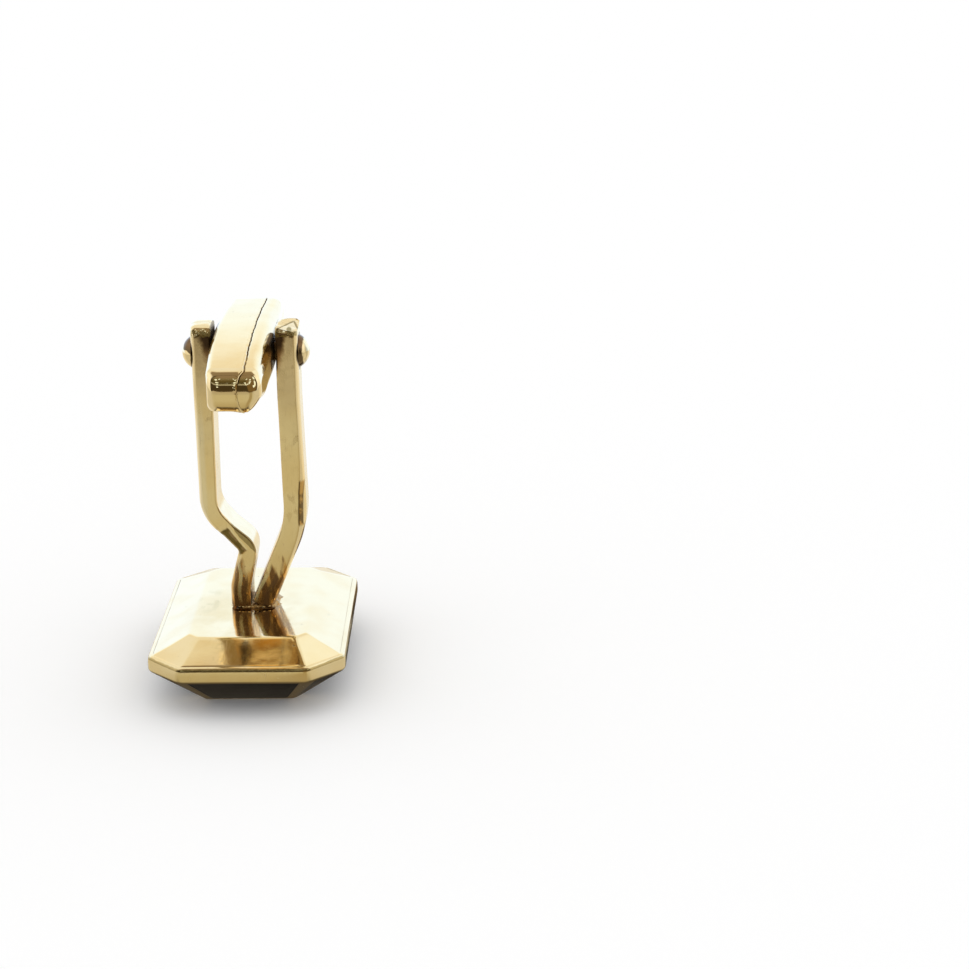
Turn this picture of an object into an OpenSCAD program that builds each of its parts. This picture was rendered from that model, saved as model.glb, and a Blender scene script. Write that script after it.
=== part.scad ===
// Hinged-toggle cufflink, in millimetres.
// It stands on the flat table of its face, as it was photographed: X is the width of the face,
// Y its length, and Z runs from the table through the back plate and the legs up to the toggle.

/* [Face] */
// Width of the face
face_w = 12; // [10.5:0.25:14]
// Length of the face
face_l = 17.5; // [15:0.25:21]
// Length cut off both sides at each corner
corner_cut = 2.1; // [1.9:0.1:2.6]
// Height of the upright rim band
rim_h = 0.95; // [0.7:0.05:1.3]
// Depth of the sloping bevel below the rim band
bevel_h = 2.3; // [1.8:0.1:2.8]
// How far the bevel runs in from the outline
bevel_in = 3; // [2.6:0.1:3.1]
// Soft break along the upper and lower edge of the rim band
edge_break = 0.14; // [0.05:0.01:0.2]

/* [Onyx inlay] */
// Thickness of the onyx slabs
slab_t = 0.6; // [0.4:0.05:0.7]
// Gold left under the slabs
cell_floor = 0.4; // [0.3:0.05:0.6]
// Half width of the gold rib between two slabs, at the rim
rib_top = 0.55; // [0.4:0.05:0.7]
// Half width of the same rib, at the table
rib_low = 0.35; // [0.25:0.05:0.45]
// Gold between a slab and the rim band
rim_margin = 0.08; // [0.04:0.02:0.2]
// Gold between a bevel slab and the edge of the table
table_margin = 0.12; // [0.1:0.02:0.2]
// Gold border round the slab in the table
table_border = 0.45; // [0.4:0.05:0.8]

/* [Back plate] */
// Width of the rim lip round the back plate
lip_w = 0.32; // [0.24:0.02:0.5]
// Width of the ledge that carries the back plate
ledge_w = 0.3; // [0.2:0.05:0.5]
// Thickness of the back plate
plate_t = 0.45; // [0.35:0.05:0.6]
// Height of the plateau above the rim
plate_rise = 0.92; // [0.6:0.02:1.3]
// Run of the side facets, from the outline to the plateau
facet_run_x = 2.4; // [1.8:0.1:3]
// Run of the end facets, from the outline to the plateau
facet_run_y = 2.7; // [2:0.1:3.5]
// Corner cut of the plateau
plateau_cut = 0.6; // [0.3:0.1:1.2]

/* [Legs] */
// Height of the rivet's axis above the rim
post_h = 17.24; // [14:0.2:20]
// Gap between the two legs at the rivet
leg_gap = 3.9; // [3.8:0.05:4.6]
// Thickness of the leg strip
leg_t = 1.25; // [1:0.05:1.4]
// Depth of the leg strip, along the length of the face
leg_d = 2.5; // [2.2:0.1:3]
// Chamfer on the outer edges of a leg, across its thickness
crown_t = 0.28; // [0.15:0.01:0.35]
// Chamfer on the outer edges of a leg, across its depth
crown_d = 0.4; // [0.2:0.05:0.5]
// Radius of the rounded leg tops, about the rivet's axis
leg_top_r = 1.95; // [1.6:0.05:2.3]
// Where the feet of the legs meet, from the middle
seam_x = -0.2; // [-0.5:0.05:0]
// Height of the straight leg's bend above its foot
bend_h = 5.4; // [4.5:0.1:6.5]
// Radius of that bend
bend_r = 6; // [4:0.5:8]
// How far the straight leg stands wider at that bend than at the rivet
splay = 0.17; // [0:0.01:0.25]
// Thickness of the straight leg at that bend
bend_t = 1.33; // [1:0.01:1.4]
// Depth below the rivet at which the straight leg turns upright
splay_drop = 2.8; // [2.4:0.1:4]
// Height of the wavy leg's first bend above its foot
ankle_h = 1.1; // [0.9:0.1:1.4]
// Height of the wavy leg's knee above its foot
knee_h = 3.73; // [3.3:0.1:4.1]
// Reach of the knee from the middle
knee_x = -0.21; // [-0.4:0.05:0]
// Height of the wavy leg's upper bend above its foot
hip_h = 6.05; // [5.7:0.1:7]
// Radius of the first bend
ankle_r = 2.2; // [1.5:0.1:3]
// Radius of the knee
knee_r = 0.95; // [0.8:0.05:1.2]
// Radius of the upper bend
hip_r = 2.4; // [1.8:0.1:2.8]
// Thickness of the wavy leg at the knee
knee_t = 1.15; // [0.9:0.05:1.3]
// Thickness of the wavy leg between knee and upper bend, where bending has drawn it thin
shin_t = 1; // [0.8:0.05:1.3]
// Width of the soldered foot pad
pad_w = 2.9; // [2.7:0.1:3.6]
// Length of the foot pad
pad_l = 2.8; // [2.6:0.1:3.6]
// Thickness of the foot pad
pad_t = 0.2; // [0.1:0.05:0.4]

/* [Rivet] */
// Radius of the rivet's shank
rivet_r = 0.6; // [0.5:0.05:0.7]
// Width across the flats that the springs press on
flats_w = 1; // [0.9:0.05:1.1]
// Radius of the domed heads
dome_r = 1.02; // [0.9:0.02:1.2]
// Height of the domed heads
dome_h = 0.65; // [0.4:0.05:0.8]
// Radial gap between the rivet and the legs it is closed on
rivet_fit = 0.01; // [0.005:0.005:0.03]
// Radial running gap between the rivet and the toggle
running_fit = 0.05; // [0.02:0.01:0.09]

/* [Toggle] */
// Length of the toggle
toggle_l = 16; // [13:0.5:18]
// Width of the toggle at the rivet
toggle_w = 3.66; // [3.5:0.02:3.7]
// Width of the toggle at its noses
nose_w = 3.24; // [2.9:0.02:3.4]
// Height of the toggle at the rivet
toggle_h = 2.84; // [2.7:0.02:3.3]
// Height of the toggle at its noses
nose_h = 2.36; // [2.2:0.02:2.6]
// Length of the rounded noses
nose_round = 1.15; // [0.9:0.05:1.5]
// Corner radius of the deep shell
shell_corner = 0.35; // [0.25:0.05:0.6]
// Corner radius of the rounder side cover
cover_corner = 0.95; // [0.6:0.05:1]
// Radius of the cover's round lobes at the noses
lobe_r = 0.95; // [0.8:0.05:1.1]
// How far a lobe reaches past the seam
lobe_reach = 0.25; // [0.1:0.05:0.5]
// Wall of both halves
toggle_wall = 0.35; // [0.25:0.05:0.45]
// Seam between the halves, from the middle
toggle_seam = 0.55; // [0.3:0.05:0.7]
// Tilt at which the toggle is at rest
toggle_tilt = 3.5; // [-10:0.5:10]

/* [Springs] */
// Thickness of the leaf springs
spring_t = 0.15; // [0.1:0.01:0.2]
// Width of the leaf springs
spring_w = 1.9; // [1.4:0.1:2.1]
// Length of the leaf springs
spring_l = 10.4; // [8:0.2:11]
// Gap between a spring and what it bears on
spring_fit = 0.03; // [0.02:0.01:0.06]

/* [Hidden] */
$fn = 96;

gold = [0.83, 0.66, 0.37];
pale_gold = [0.93, 0.82, 0.6];
onyx = [0.09, 0.08, 0.07];
spring_steel = [0.6, 0.6, 0.62];

// Overrun of every cut past the face it starts from, as a share of the rim's height
overrun_share = 0.6;
overrun = rim_h * overrun_share;

// Heights on the axis of the cufflink
rim_z = bevel_h + rim_h;
seat_z = rim_z - plate_t;
plateau_z = rim_z + plate_rise;
foot_z = plateau_z + pad_t;
pivot_z = rim_z + post_h;

// Slope of the bevel
slant = sqrt(bevel_in * bevel_in + bevel_h * bevel_h);
slope = atan(bevel_h / bevel_in);
dish_t = slab_t + cell_floor;

// A corner cut never closes altogether, however far an outline is drawn in
least_cut_share = 0.02;
cut_inset_share = 2 - sqrt(2);
function cut_at(inset) = max(corner_cut - cut_inset_share * inset, corner_cut * least_cut_share);

// Eight points of an oblong with cut corners, from half sizes and the cut
function octagon(half_w, half_l, cut) = [
    [-half_w, -half_l + cut], [-half_w + cut, -half_l], [half_w - cut, -half_l],
    [half_w, -half_l + cut], [half_w, half_l - cut], [half_w - cut, half_l],
    [-half_w + cut, half_l], [-half_w, half_l - cut]];

// The outline of the face, drawn in alike on every side
function face_outline(inset) = octagon(face_w / 2 - inset, face_l / 2 - inset, cut_at(inset));

// How far the cavity's wall lies inside the outline at height z
function cavity_inset(z) = bevel_in * (1 - (z - dish_t * slant / bevel_in) / bevel_h);

// Solid between two outlines of eight points at two heights
module frustum(low, low_z, high, high_z) {
    n = len(low);
    polyhedron(
        points = concat([for (p = low) [p.x, p.y, low_z]], [for (p = high) [p.x, p.y, high_z]]),
        faces = concat(
            [[for (i = [0:n - 1]) i]],
            [[for (i = [n - 1:-1:0]) n + i]],
            [for (i = [0:n - 1]) [i, n + i, n + (i + 1) % n, (i + 1) % n]]
        )
    );
}

// Upright solid of one outline between two heights
module prism(outline, low_z, high_z) {
    translate([0, 0, low_z]) linear_extrude(height = high_z - low_z) polygon(outline);
}

// Outer form of the face: bevel, rim band and the soft break along its edges
module face_block() {
    low_break = edge_break * bevel_h / bevel_in;
    frustum(face_outline(bevel_in), 0, face_outline(edge_break), bevel_h - low_break);
    frustum(face_outline(edge_break), bevel_h - low_break, face_outline(0), bevel_h + edge_break);
    prism(face_outline(0), bevel_h + edge_break, rim_z - edge_break);
    frustum(face_outline(0), rim_z - edge_break, face_outline(edge_break), rim_z);
}

// Puts its child on a facet of the bevel: the child's Y runs down the slope, its Z inwards
module on_facet(middle, turn) {
    translate([middle.x, middle.y, bevel_h]) rotate([0, 0, turn]) rotate([-slope, 0, 0]) children();
}

// Half lengths of a facet's edges at the rim and at the table
end_top = face_w / 2 - corner_cut;
end_low = face_w / 2 - bevel_in - cut_at(bevel_in);
side_top = face_l / 2 - corner_cut;
side_low = face_l / 2 - bevel_in - cut_at(bevel_in);
corner_top = corner_cut / sqrt(2);
corner_low = cut_at(bevel_in) / sqrt(2);

// A slab keeps at least this share of its facet's lower edge
tip_share = 0.4;

// Slab for a facet, with its outer face in the facet's plane; cut_more lets it cut a cell
module slab(half_top, half_low, cut_more) {
    top_half = half_top - rib_top;
    low_half = max(half_low - rib_low, half_low * tip_share);
    translate([0, 0, -cut_more]) linear_extrude(height = slab_t + cut_more) polygon([
        [-top_half, rim_margin], [top_half, rim_margin],
        [low_half, slant - table_margin], [-low_half, slant - table_margin]]);
}

module slab_front(cut_more = 0) {
    on_facet([0, -face_l / 2], 0) slab(end_top, end_low, cut_more);
}

module slab_rear(cut_more = 0) {
    on_facet([0, face_l / 2], 180) slab(end_top, end_low, cut_more);
}

module slab_left(cut_more = 0) {
    on_facet([-face_w / 2, 0], -90) slab(side_top, side_low, cut_more);
}

module slab_right(cut_more = 0) {
    on_facet([face_w / 2, 0], 90) slab(side_top, side_low, cut_more);
}

// Corner slab: side_x and side_y are 1 or -1, turn faces the corner's slope to the middle
module slab_corner(side_x, side_y, turn, cut_more = 0) {
    middle_x = side_x * (face_w - corner_cut) / 2;
    middle_y = side_y * (face_l - corner_cut) / 2;
    on_facet([middle_x, middle_y], turn) slab(corner_top, corner_low, cut_more);
}

module slab_table(cut_more = 0) {
    prism(face_outline(bevel_in + table_border), -cut_more, slab_t);
}

// Cast dish: rim, ribs and one cell for each slab, hollow behind
module face_frame() {
    color(gold) difference() {
        face_block();
        slab_front(overrun);
        slab_rear(overrun);
        slab_left(overrun);
        slab_right(overrun);
        slab_corner(-1, -1, -45, overrun);
        slab_corner(1, -1, 45, overrun);
        slab_corner(-1, 1, -135, overrun);
        slab_corner(1, 1, 135, overrun);
        slab_table(overrun);
        frustum(face_outline(cavity_inset(dish_t)), dish_t,
            face_outline(max(cavity_inset(seat_z), lip_w + ledge_w)), seat_z);
        prism(face_outline(lip_w), seat_z, rim_z + overrun);
    }
}

module onyx_table() {
    color(onyx) slab_table();
}

module onyx_front() {
    color(onyx) slab_front();
}

module onyx_rear() {
    color(onyx) slab_rear();
}

module onyx_left() {
    color(onyx) slab_left();
}

module onyx_right() {
    color(onyx) slab_right();
}

module onyx_corner_front_left() {
    color(onyx) slab_corner(-1, -1, -45);
}

module onyx_corner_front_right() {
    color(onyx) slab_corner(1, -1, 45);
}

module onyx_corner_rear_left() {
    color(onyx) slab_corner(-1, 1, -135);
}

module onyx_corner_rear_right() {
    color(onyx) slab_corner(1, 1, 135);
}

// Outline of the plateau, drawn in by inset
function plateau_outline(inset) = octagon(face_w / 2 - facet_run_x - inset,
    face_l / 2 - facet_run_y - inset, plateau_cut);

// Pressed lid: an upright edge in the rim, eight facets and the plateau, hollow underneath
module back_plate() {
    color(pale_gold) difference() {
        union() {
            prism(face_outline(lip_w), seat_z, rim_z);
            frustum(face_outline(lip_w), rim_z, plateau_outline(0), plateau_z);
        }
        frustum(face_outline(lip_w + ledge_w + plate_t), seat_z,
            plateau_outline(plate_t), plateau_z - plate_t);
    }
}

// Soldered pad under the feet of the legs, with sloping edges
pad_slope_share = 0.75;
pad_cut_share = 0.12;
pad_x = (seam_x - leg_t / 2 + seam_x + leg_t) / 2;

module foot_pad() {
    cut = pad_w * pad_cut_share;
    draw_in = pad_t * pad_slope_share;
    color(gold) translate([pad_x, 0, 0])
        frustum(octagon(pad_w / 2, pad_l / 2, cut), plateau_z,
            octagon(pad_w / 2 - draw_in, pad_l / 2 - draw_in, cut), foot_z);
}

// Section of a leg strip of thickness t: flat inside, chamfered outside
function strip_section(t) = [
    [-t / 2, -leg_d / 2], [t / 2 - crown_t, -leg_d / 2],
    [t / 2, -leg_d / 2 + crown_d], [t / 2, leg_d / 2 - crown_d],
    [t / 2 - crown_t, leg_d / 2], [-t / 2, leg_d / 2]];

// A path is a list of corners, each as X, Z, bend radius and thickness of the strip
function heading(a, b) = atan2(b[0] - a[0], b[1] - a[1]);

// Largest turn between two sections in a bend, in degrees
bend_step = 5;

// Stations in the bend at corner i, each as X, Z, heading and thickness
function bend_stations(path, i) =
    let (
        from = heading(path[i - 1], path[i]),
        to = heading(path[i], path[i + 1]),
        side = (to > from) ? 1 : -1,
        radius = path[i][2],
        back = radius * tan(abs(to - from) / 2),
        centre_x = path[i][0] - back * sin(from) + side * radius * cos(from),
        centre_z = path[i][1] - back * cos(from) - side * radius * sin(from),
        steps = ceil(abs(to - from) / bend_step)
    )
    (radius == 0) ? [[path[i][0], path[i][1], to, path[i][3]]]
    : [for (k = [0:steps]) let (a = from + (to - from) * k / steps)
        [centre_x - side * radius * cos(a), centre_z + side * radius * sin(a), a, path[i][3]]];

function path_stations(path) =
    let (last = len(path) - 1)
    concat(
        [[path[0][0], path[0][1], heading(path[0], path[1]), path[0][3]]],
        [for (i = [1:last - 1]) each bend_stations(path, i)],
        [[path[last][0], path[last][1], heading(path[last - 1], path[last]), path[last][3]]]
    );

// Closed solid through rings of points, all rings alike in number and order
module loft(rings) {
    m = len(rings[0]);
    n = len(rings);
    polyhedron(
        points = [for (ring = rings) each ring],
        faces = concat(
            [[for (j = [m - 1:-1:0]) j]],
            [[for (j = [0:m - 1]) (n - 1) * m + j]],
            [for (i = [0:n - 2]) for (j = [0:m - 1])
                [i * m + j, i * m + (j + 1) % m, (i + 1) * m + j]],
            [for (i = [0:n - 2]) for (j = [0:m - 1])
                [i * m + (j + 1) % m, (i + 1) * m + (j + 1) % m, (i + 1) * m + j]]
        )
    );
}

// Strip bent along a path; out is 1 or -1, the side of its chamfered face
module bent_strip(path, out) {
    rings = [for (s = path_stations(path)) [for (p = strip_section(s[3]))
        [s[0] + out * p[0] * cos(s[2]), p[1], s[1] - out * p[0] * sin(s[2])]]];
    loft(out > 0 ? rings : [for (ring = rings) [for (j = [len(ring) - 1:-1:0]) ring[j]]]);
}

leg_x = (leg_gap + leg_t) / 2;
leg_end_z = pivot_z + leg_top_r + overrun;
// The straight leg's foot lies this share of the strip's thickness from the seam
foot_reach_share = 0.58;
straight_foot = [seam_x + leg_t * foot_reach_share, foot_z];
straight_bend = [leg_x + splay, foot_z + bend_h];
// Share of the first run by which the strip is drawn past the foot before it is cut level
foot_extra_share = 0.2;
straight_start = straight_foot + (straight_foot - straight_bend) * foot_extra_share;

straight_path = [
    [straight_start.x, straight_start.y, 0, leg_t],
    [straight_bend.x, straight_bend.y, bend_r, bend_t],
    [leg_x, pivot_z - splay_drop, bend_r, leg_t],
    [leg_x, leg_end_z, 0, leg_t]];

wavy_x = seam_x - leg_t / 2;
wavy_path = [
    [wavy_x, foot_z - overrun, 0, leg_t],
    [wavy_x, foot_z + ankle_h, ankle_r, leg_t],
    [knee_x, foot_z + knee_h, knee_r, knee_t],
    [(knee_x - leg_x) / 2, foot_z + (knee_h + hip_h) / 2, 0, shin_t],
    [-leg_x, foot_z + hip_h, hip_r, (leg_t + shin_t) / 2],
    [-leg_x, leg_end_z, 0, leg_t]];

// Room that a finished leg may fill: above the foot pad, and under the rounded top
module leg_room() {
    translate([-face_w / 2, -leg_d, foot_z]) cube([face_w, leg_d * 2, pivot_z - foot_z]);
    translate([-face_w / 2, 0, pivot_z]) rotate([0, 90, 0]) cylinder(r = leg_top_r, h = face_w);
}

module rivet_hole(radius) {
    translate([-face_w / 2, 0, pivot_z]) rotate([0, 90, 0]) cylinder(r = radius, h = face_w);
}

module leg_straight() {
    color(gold) difference() {
        intersection() {
            bent_strip(straight_path, 1);
            leg_room();
        }
        rivet_hole(rivet_r + rivet_fit);
        translate([seam_x - face_w, -leg_d, foot_z - overrun])
            cube([face_w, leg_d * 2, pivot_z]);
    }
}

module leg_wavy() {
    color(gold) difference() {
        intersection() {
            bent_strip(wavy_path, -1);
            leg_room();
        }
        rivet_hole(rivet_r + rivet_fit);
    }
}

// Domed head on the outer side of a leg; side is 1 or -1
module rivet_dome(side) {
    ball_r = (dome_r * dome_r + dome_h * dome_h) / (2 * dome_h);
    base_x = leg_gap / 2 + leg_t;
    translate([side * base_x, 0, pivot_z]) rotate([0, side * 90, 0]) intersection() {
        translate([0, 0, dome_h - ball_r]) sphere(r = ball_r);
        cylinder(r = dome_r * 2, h = dome_h * 2);
    }
}

// Rivet: shank through both legs, four flats inside the toggle and two domed heads
flats_reach = toggle_w / 2 - toggle_wall * 1.5;

module pivot_rivet() {
    shank_l = leg_gap + 2 * leg_t;
    color(gold) union() {
        difference() {
            translate([-shank_l / 2, 0, pivot_z]) rotate([0, 90, 0])
                cylinder(r = rivet_r, h = shank_l);
            translate([0, 0, pivot_z]) rotate([toggle_tilt, 0, 0]) for (quarter = [0:3])
                rotate([quarter * 90, 0, 0]) translate([-flats_reach, -rivet_r * 2, flats_w / 2])
                    cube([flats_reach * 2, rivet_r * 4, rivet_r]);
        }
        rivet_dome(1);
        rivet_dome(-1);
    }
}

// The toggle is drawn along Y about the rivet's axis, then tilted into its place
module in_toggle_place() {
    translate([0, 0, pivot_z]) rotate([toggle_tilt, 0, 0]) children();
}

// Fuller in the middle than at the ends: a cosine from end to middle
function swell(y, half_l, at_end, at_middle) =
    at_end + (at_middle - at_end) * cos(90 * y / half_l);

// Squarish quarter curve of the noses: 1 where the rounding starts, 0 at its end
nose_power = 2.4;
function nose_curve(t) = (t <= 0) ? 1 : pow(1 - pow(min(t, 1), nose_power), 1 / nose_power);

// Half height of the toggle at y, for a form drawn in by inset
function toggle_half_h(y, inset) =
    let (half_l = toggle_l / 2 - inset, run = nose_round - inset / 2)
    (swell(y, half_l, nose_h / 2, toggle_h / 2) - inset) * nose_curve((abs(y) - half_l + run) / run);

// Half width on a side whose ends are rounded off by corner
function toggle_half_w(y, inset, corner) =
    let (half_l = toggle_l / 2 - inset, into = max(abs(y) - half_l + corner, 0))
    swell(y, half_l, nose_w / 2, toggle_w / 2) - inset
        - corner + sqrt(max(corner * corner - into * into, 0));

corner_steps = 5;

// Points of one rounded corner; cx, cy is its centre and first its first angle
function corner_points(cx, cy, radius, first) = [for (k = [0:corner_steps])
    [cx + radius * cos(first + 90 * k / corner_steps), cy + radius * sin(first + 90 * k / corner_steps)]];

// Most of the half height or half width that a section's corner may take
corner_limit_share = 0.9;

// Section of the toggle at y, as X, Z points
function toggle_section(y, inset) =
    let (
        half_h = toggle_half_h(y, inset),
        left_c = max(shell_corner - inset / 2, shell_corner / 2),
        right_c = max(cover_corner - inset / 2, cover_corner / 2),
        left_w = toggle_half_w(y, inset, left_c),
        right_w = toggle_half_w(y, inset, right_c),
        left_r = min(left_c, half_h * corner_limit_share),
        right_r = min(right_c, half_h * corner_limit_share)
    )
    concat(
        corner_points(right_w - right_r, half_h - right_r, right_r, 0),
        corner_points(-left_w + left_r, half_h - left_r, left_r, 90),
        corner_points(-left_w + left_r, -half_h + left_r, left_r, 180),
        corner_points(right_w - right_r, -half_h + right_r, right_r, 270));

// Places of the sections: shares of the nose's rounding, and shares of the length between noses
nose_place_share = [0.97, 0.9, 0.78, 0.62, 0.42, 0.2, 0];
body_place_share = [0.8, 0.6, 0.4, 0.2, 0];

function half_places(inset) =
    let (half_l = toggle_l / 2 - inset, run = nose_round - inset / 2)
    concat([for (t = nose_place_share) half_l - run * (1 - t)],
        [for (t = body_place_share) (half_l - run) * t]);

// Closed form through all the sections, from the near nose to the far one
module toggle_form(inset) {
    near = [for (y = half_places(inset)) -y];
    far = half_places(inset);
    places = concat(near, [for (i = [len(far) - 2:-1:0]) far[i]]);
    rings = [for (y = places) [for (p = toggle_section(y, inset)) [p[0], y, p[1]]]];
    loft(rings);
}

// Hollow toggle with the holes in its flanks for the rivet
module toggle_hollow() {
    difference() {
        toggle_form(0);
        toggle_form(toggle_wall);
        translate([-toggle_w, 0, 0]) rotate([0, 90, 0])
            cylinder(r = rivet_r + running_fit, h = toggle_w * 2);
    }
}

// Share of the noses' rounding from the tip to the middle of a lobe
lobe_share = 0.25;

// Side of the seam that is the cover's: all beyond the seam, and a round lobe at each nose
module cover_side() {
    lobe_x = toggle_seam - lobe_reach + lobe_r;
    lobe_y = toggle_l / 2 - nose_round * lobe_share;
    translate([toggle_seam, -toggle_l, -toggle_h]) cube([toggle_w, toggle_l * 2, toggle_h * 2]);
    for (side = [1, -1])
        translate([lobe_x, side * lobe_y, -toggle_h]) cylinder(r = lobe_r, h = toggle_h * 2);
}

// Deep shell: one flank, top, belly and noses up to the seam
module toggle_shell() {
    color(pale_gold) in_toggle_place() difference() {
        toggle_hollow();
        cover_side();
    }
}

// Side cover: the other flank with its rounder shoulders
module toggle_cover() {
    color(pale_gold) in_toggle_place() intersection() {
        toggle_hollow();
        cover_side();
    }
}

// Bowed leaf: its middle bears on a flat of the rivet, its ends on the inside of the shell
module leaf_spring() {
    half_span = spring_l / 2;
    low = flats_w / 2 + spring_fit;
    high = toggle_half_h(half_span, toggle_wall) - spring_fit - spring_t;
    rise = high - low;
    bow_r = (half_span * half_span + rise * rise) / (2 * rise);
    half_angle = asin(half_span / bow_r);
    translate([-spring_w / 2, 0, low + bow_r]) rotate([0, 90, 0]) rotate([0, 0, -half_angle])
        rotate_extrude(angle = 2 * half_angle) translate([bow_r - spring_t, 0])
            square([spring_t, spring_w]);
}

module spring_upper() {
    color(spring_steel) in_toggle_place() leaf_spring();
}

module spring_lower() {
    color(spring_steel) in_toggle_place() mirror([0, 0, 1]) leaf_spring();
}

face_frame();
onyx_table();
onyx_front();
onyx_rear();
onyx_left();
onyx_right();
onyx_corner_front_left();
onyx_corner_front_right();
onyx_corner_rear_left();
onyx_corner_rear_right();
back_plate();
foot_pad();
leg_straight();
leg_wavy();
pivot_rivet();
toggle_shell();
toggle_cover();
spring_upper();
spring_lower();
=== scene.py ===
"""Looks of the cufflink: polished gold and black onyx in a pale studio, from the photograph's angle."""

from math import (asin, atan2, ceil, copysign, cos, degrees, dist, exp, hypot, log, pi, radians, sin,
                  sqrt, tan)

import bmesh
import bpy
from mathutils import Matrix, Vector, noise


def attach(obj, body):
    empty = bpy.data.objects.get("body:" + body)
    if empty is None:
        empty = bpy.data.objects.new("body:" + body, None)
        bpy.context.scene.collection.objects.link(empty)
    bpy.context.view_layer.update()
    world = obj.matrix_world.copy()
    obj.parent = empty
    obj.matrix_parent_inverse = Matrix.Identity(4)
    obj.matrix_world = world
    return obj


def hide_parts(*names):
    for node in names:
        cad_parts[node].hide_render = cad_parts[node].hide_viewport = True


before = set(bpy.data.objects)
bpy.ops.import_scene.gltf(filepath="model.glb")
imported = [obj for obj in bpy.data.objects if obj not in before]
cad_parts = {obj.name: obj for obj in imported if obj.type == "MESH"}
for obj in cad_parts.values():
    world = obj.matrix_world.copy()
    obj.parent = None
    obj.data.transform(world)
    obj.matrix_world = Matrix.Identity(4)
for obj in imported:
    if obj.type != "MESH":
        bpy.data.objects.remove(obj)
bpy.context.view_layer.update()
noise.seed_set(5)  # noise_vector takes its offsets from this seed
MM = 0.001

# Sizes of the CAD part, in millimetres and degrees
PIVOT_Z, TILT = 20.49, 3.5
FOOT_Z, PLATEAU_Z, RIM_Z, SEAT_Z = 4.37, 4.17, 3.25, 2.8
LEG_GAP, LEG_T, LEG_D, CHAMFER = 3.9, 1.25, 2.5, 0.4
LEG_TOP_R, TOP_POWER, FEET_X = 1.95, 3.4, -0.2
TOGGLE_L, TOGGLE_W, NOSE_W = 16.0, 3.66, 3.4
SHELL_MID, SHELL_END = 1.86, 1.48
TOGGLE_H, NOSE_H, NOSE_ROUND, NOSE_POWER = 2.84, 2.36, 1.15, 2.4
SHELL_CORNER, COVER_CORNER, COVER_PLAN, TOGGLE_WALL = 0.35, 0.95, 0.72, 0.35
FACE_HALF_W, FACE_HALF_L, CORNER_CUT = 6.0, 8.75, 2.1
PLATEAU_HALF_W, PLATEAU_HALF_L, PLATEAU_CUT = 3.6, 6.05, 0.6
BEVEL_H, BEVEL_IN, LIP_W = 2.3, 3.0, 0.32
SLAB_T, DISH_T = 0.6, 1.0
RIVET_R, FLATS_W, DOME_R, DOME_H = 0.6, 1.0, 1.02, 0.65

# ---- camera, fitted to the photograph
PHOTO_PX, SENSOR_W, FOCAL_PX = 969.0, 36.0, 2176.5
PITCH, ROLL, YAW = 18.304, -0.503, -0.2528
CAMERA_AT = (15.05, -128.31, 54.26)


def new_object(name, data):
    ob = bpy.data.objects.new(name, data)
    bpy.context.scene.collection.objects.link(ob)
    return ob


def make_camera():
    pitch, roll, yaw = (radians(a) for a in (PITCH, ROLL, YAW))
    data = bpy.data.cameras.new("camera")
    data.sensor_width = SENSOR_W
    data.lens = SENSOR_W * FOCAL_PX / PHOTO_PX
    data.clip_start, data.clip_end = 0.005, 5.0
    right = Vector((1, 0, 0))
    ahead = Vector((0, cos(pitch), -sin(pitch)))
    up = Vector((0, sin(pitch), cos(pitch)))
    c, s = cos(yaw), sin(yaw)
    place = Matrix.Identity(4)
    for column, v in enumerate((cos(roll) * right + sin(roll) * up,
                                -sin(roll) * right + cos(roll) * up, -ahead)):
        for row, value in enumerate((c * v.x + s * v.y, -s * v.x + c * v.y, v.z)):
            place[row][column] = value
    place.translation = Vector(CAMERA_AT) * MM
    cam = new_object("camera", data)
    cam.matrix_world = place
    bpy.context.scene.camera = cam


make_camera()


# ---- nodes
class Value:
    """Output of a node. Arithmetic on it, and each of its methods, adds nodes to its tree."""

    def __init__(self, tree, socket):
        self.tree, self.socket = tree, socket

    def math(self, op, *others):
        return self.tree.add("Math", dict(enumerate((self, *others))), operation=op)

    def __add__(self, other):
        return self.math("ADD", other)

    def __sub__(self, other):
        return self.math("SUBTRACT", other)

    def __rsub__(self, other):
        return self.tree.add("Math", {0: other, 1: self}, operation="SUBTRACT")

    def __mul__(self, other):
        return self.math("MULTIPLY", other)

    def __truediv__(self, other):
        return self.math("DIVIDE", other)

    def __abs__(self):
        return self.math("ABSOLUTE")

    def max(self, other):
        return self.math("MAXIMUM", other)

    def min(self, other):
        return self.math("MINIMUM", other)

    def sqrt(self):
        return self.math("SQRT")

    def span(self, lo, hi, smooth=True):
        """0 at lo, 1 at hi."""
        return self.tree.add("MapRange", {"Value": self, "From Min": lo, "From Max": hi},
                             interpolation_type="SMOOTHSTEP" if smooth else "LINEAR", clamp=True)

    def window(self, lo, hi, soft):
        """1 between lo and hi, falling to 0 over soft on either side."""
        return self.span(lo - soft, lo) * (1 - self.span(hi, hi + soft))

    def vector(self, op, other=(0, 0, 0), out=0):
        return self.tree.add("VectorMath", {0: self, 1: other}, out, operation=op)

    def scaled(self, *factors):
        return self.vector("MULTIPLY", factors)

    def split(self):
        return [self.tree.add("SeparateXYZ", {"Vector": self}, axis) for axis in "XYZ"]

    def spot(self, at, size, soft):
        """1 at a place, falling to 0."""
        return 1 - self.vector("SUBTRACT", at).vector("LENGTH", out="Value").span(size, size + soft)

    def noise(self, scale, detail=2.0):
        return self.tree.add("TexNoise", {"Vector": self, "Scale": scale, "Detail": detail})

    def specks(self, scale, size, soft_size):
        """1 in the middle of scattered dots, 0 beyond soft_size."""
        cells = self.tree.add("TexVoronoi", {"Vector": self, "Scale": scale, "Randomness": 1.0}, "Distance")
        return 1 - cells.span(size, soft_size)


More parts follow.
